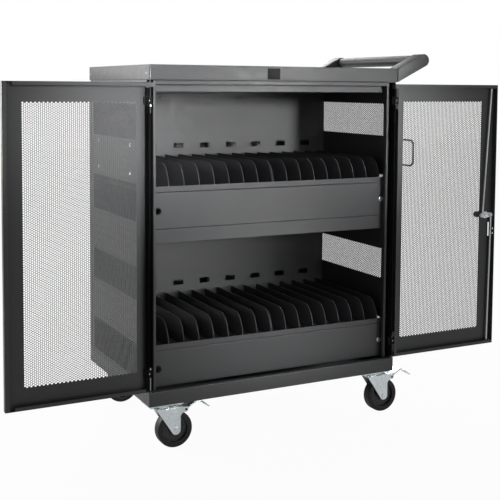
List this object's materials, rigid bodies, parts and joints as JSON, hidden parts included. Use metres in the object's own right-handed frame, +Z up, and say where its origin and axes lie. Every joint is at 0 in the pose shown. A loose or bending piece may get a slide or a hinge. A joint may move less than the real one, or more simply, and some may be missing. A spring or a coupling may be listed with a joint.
{
  "type": "laptop charging cart",
  "caption": "Black steel laptop charging cart on swivel casters with perforated fold-back doors, two divided shelves, a three-point lock, rear access doors and a push handle.",
  "frame": {"origin": "floor level below the middle of the whole object, doors folded open", "axes": "+X to the right seen from the front, towards the push handle; +Y to the rear; +Z up; the front faces -Y"},
  "size_m": [1.54, 0.511, 1.0795],
  "materials": {
    "black_steel": "satin black powder coat with a fine grain",
    "door_mesh": "satin black powder coat on perforated sheet",
    "rack_plastic": "matt black moulded dividers",
    "zinc_steel": "bright zinc plate",
    "black_plastic": "fine grained black",
    "wheel_rubber": "smooth black tread on a moulded core"
  },
  "bodies": {
    "cabinet": {"lid": "black_steel", "base_pan": "black_steel", "left_side_panel": "black_steel", "right_side_panel": "black_steel", "front_header": "black_steel", "lower_shelf": "black_steel", "upper_shelf": "black_steel", "lower_fascia": "black_steel", "upper_fascia": "black_steel", "upper_adapter_tray": "black_steel", "lower_back_wall": "black_steel", "upper_back_wall": "black_steel", "lower_left_rack": "rack_plastic", "lower_right_rack": "rack_plastic", "upper_left_rack": "rack_plastic", "upper_right_rack": "rack_plastic", "handle_front_arm": "black_steel", "handle_rear_arm": "black_steel", "handle_bar": "black_steel", "front_cord_hook": "black_steel", "rear_cord_hook": "black_steel", "lower_power_strip": "black_plastic", "upper_power_strip": "black_plastic", "power_inlet": "black_plastic", "front_left_caster_plate": "zinc_steel", "front_right_caster_plate": "zinc_steel", "rear_left_caster_plate": "zinc_steel", "rear_right_caster_plate": "zinc_steel"},
    "left_front_door": {"left_door_pan": "black_steel", "left_door_mesh": "door_mesh", "left_upper_hinge": "zinc_steel", "left_lower_hinge": "zinc_steel"},
    "right_front_door": {"right_door_pan": "black_steel", "right_door_mesh": "door_mesh", "right_upper_hinge": "zinc_steel", "right_lower_hinge": "zinc_steel", "lock_body": "zinc_steel", "upper_rod_guide": "black_plastic", "lower_rod_guide": "black_plastic"},
    "front_lock": {"lock_handle": "black_plastic", "lock_cam": "zinc_steel"},
    "upper_rod": {"upper_lock_rod": "zinc_steel"},
    "lower_rod": {"lower_lock_rod": "zinc_steel"},
    "rear_left_door": {"rear_left_door": "black_steel"},
    "rear_right_door": {"rear_right_door": "black_steel"},
    "rear_lock": {"rear_lock": "zinc_steel"},
    "upper_switch": {"upper_switch_rocker": "black_plastic"},
    "lower_switch": {"lower_switch_rocker": "black_plastic"},
    "front_left_swivel": {"front_left_fork": "zinc_steel"},
    "front_left_wheel": {"front_left_wheel": "wheel_rubber"},
    "front_right_swivel": {"front_right_fork": "zinc_steel"},
    "front_right_wheel": {"front_right_wheel": "wheel_rubber"},
    "rear_left_swivel": {"rear_left_fork": "zinc_steel"},
    "rear_left_wheel": {"rear_left_wheel": "wheel_rubber"},
    "rear_right_swivel": {"rear_right_fork": "zinc_steel"},
    "rear_right_wheel": {"rear_right_wheel": "wheel_rubber"},
    "front_left_pedal": {"front_left_brake_pedal": "zinc_steel"},
    "front_right_pedal": {"front_right_brake_pedal": "zinc_steel"}
  },
  "joints": [
    {"name": "left_door_hinge", "type": "hinge", "parent": "cabinet", "child": "left_front_door", "pos_m": [-0.3855, -0.2465, 0.581], "axis": [0, 0, 1], "range_deg": [0, 180]},
    {"name": "right_door_hinge", "type": "hinge", "parent": "cabinet", "child": "right_front_door", "pos_m": [0.3855, -0.2465, 0.581], "axis": [0, 0, -1], "range_deg": [0, 180]},
    {"name": "lock_turn", "type": "hinge", "parent": "right_front_door", "child": "front_lock", "pos_m": [0.743, -0.2465, 0.581], "axis": [0, 1, 0], "range_deg": [0, 90]},
    {"name": "upper_rod_pivot", "type": "hinge", "parent": "front_lock", "child": "upper_rod", "pos_m": [0.726, -0.2465, 0.581], "axis": [0, 1, 0], "range_deg": [-93, 0]},
    {"name": "lower_rod_pivot", "type": "hinge", "parent": "front_lock", "child": "lower_rod", "pos_m": [0.76, -0.2465, 0.581], "axis": [0, 1, 0], "range_deg": [-93, 0]},
    {"name": "rear_left_door_hinge", "type": "hinge", "parent": "cabinet", "child": "rear_left_door", "pos_m": [-0.3855, 0.2445, 0.581], "axis": [0, 0, 1], "range_deg": [0, 110]},
    {"name": "rear_right_door_hinge", "type": "hinge", "parent": "cabinet", "child": "rear_right_door", "pos_m": [0.3855, 0.2445, 0.581], "axis": [0, 0, -1], "range_deg": [0, 110]},
    {"name": "rear_lock_turn", "type": "hinge", "parent": "rear_right_door", "child": "rear_lock", "pos_m": [0.021, 0.2445, 0.581], "axis": [0, 1, 0], "range_deg": [0, 90]},
    {"name": "upper_switch_rock", "type": "hinge", "parent": "cabinet", "child": "upper_switch", "pos_m": [0.235, 0.1968, 0.912], "axis": [0, 0, 1], "range_deg": [-8, 8]},
    {"name": "lower_switch_rock", "type": "hinge", "parent": "cabinet", "child": "lower_switch", "pos_m": [0.235, 0.1968, 0.475], "axis": [0, 0, 1], "range_deg": [-8, 8]},
    {"name": "front_left_swivel_turn", "type": "hinge", "parent": "cabinet", "child": "front_left_swivel", "pos_m": [-0.339, -0.213, 0.11], "axis": [0, 0, 1], "continuous": true},
    {"name": "front_left_wheel_spin", "type": "hinge", "parent": "front_left_swivel", "child": "front_left_wheel", "pos_m": [-0.306, -0.213, 0.05], "axis": [0, 1, 0], "continuous": true},
    {"name": "front_left_pedal_press", "type": "hinge", "parent": "front_left_swivel", "child": "front_left_pedal", "pos_m": [-0.277, -0.213, 0.104], "axis": [0, 1, 0], "range_deg": [0, 12]},
    {"name": "front_right_swivel_turn", "type": "hinge", "parent": "cabinet", "child": "front_right_swivel", "pos_m": [0.339, -0.213, 0.11], "axis": [0, 0, 1], "continuous": true},
    {"name": "front_right_wheel_spin", "type": "hinge", "parent": "front_right_swivel", "child": "front_right_wheel", "pos_m": [0.372, -0.213, 0.05], "axis": [0, 1, 0], "continuous": true},
    {"name": "front_right_pedal_press", "type": "hinge", "parent": "front_right_swivel", "child": "front_right_pedal", "pos_m": [0.401, -0.213, 0.104], "axis": [0, 1, 0], "range_deg": [0, 12]},
    {"name": "rear_left_swivel_turn", "type": "hinge", "parent": "cabinet", "child": "rear_left_swivel", "pos_m": [-0.339, 0.211, 0.11], "axis": [0, 0, 1], "continuous": true},
    {"name": "rear_left_wheel_spin", "type": "hinge", "parent": "rear_left_swivel", "child": "rear_left_wheel", "pos_m": [-0.306, 0.211, 0.05], "axis": [0, 1, 0], "continuous": true},
    {"name": "rear_right_swivel_turn", "type": "hinge", "parent": "cabinet", "child": "rear_right_swivel", "pos_m": [0.339, 0.211, 0.11], "axis": [0, 0, 1], "continuous": true},
    {"name": "rear_right_wheel_spin", "type": "hinge", "parent": "rear_right_swivel", "child": "rear_right_wheel", "pos_m": [0.372, 0.211, 0.05], "axis": [0, 1, 0], "continuous": true}
  ],
  "couplings": [
    {"joint": "upper_rod_pivot", "follows": "lock_turn", "ratio": -1.0261},
    {"joint": "lower_rod_pivot", "follows": "lock_turn", "ratio": -1.0275}
  ]
}
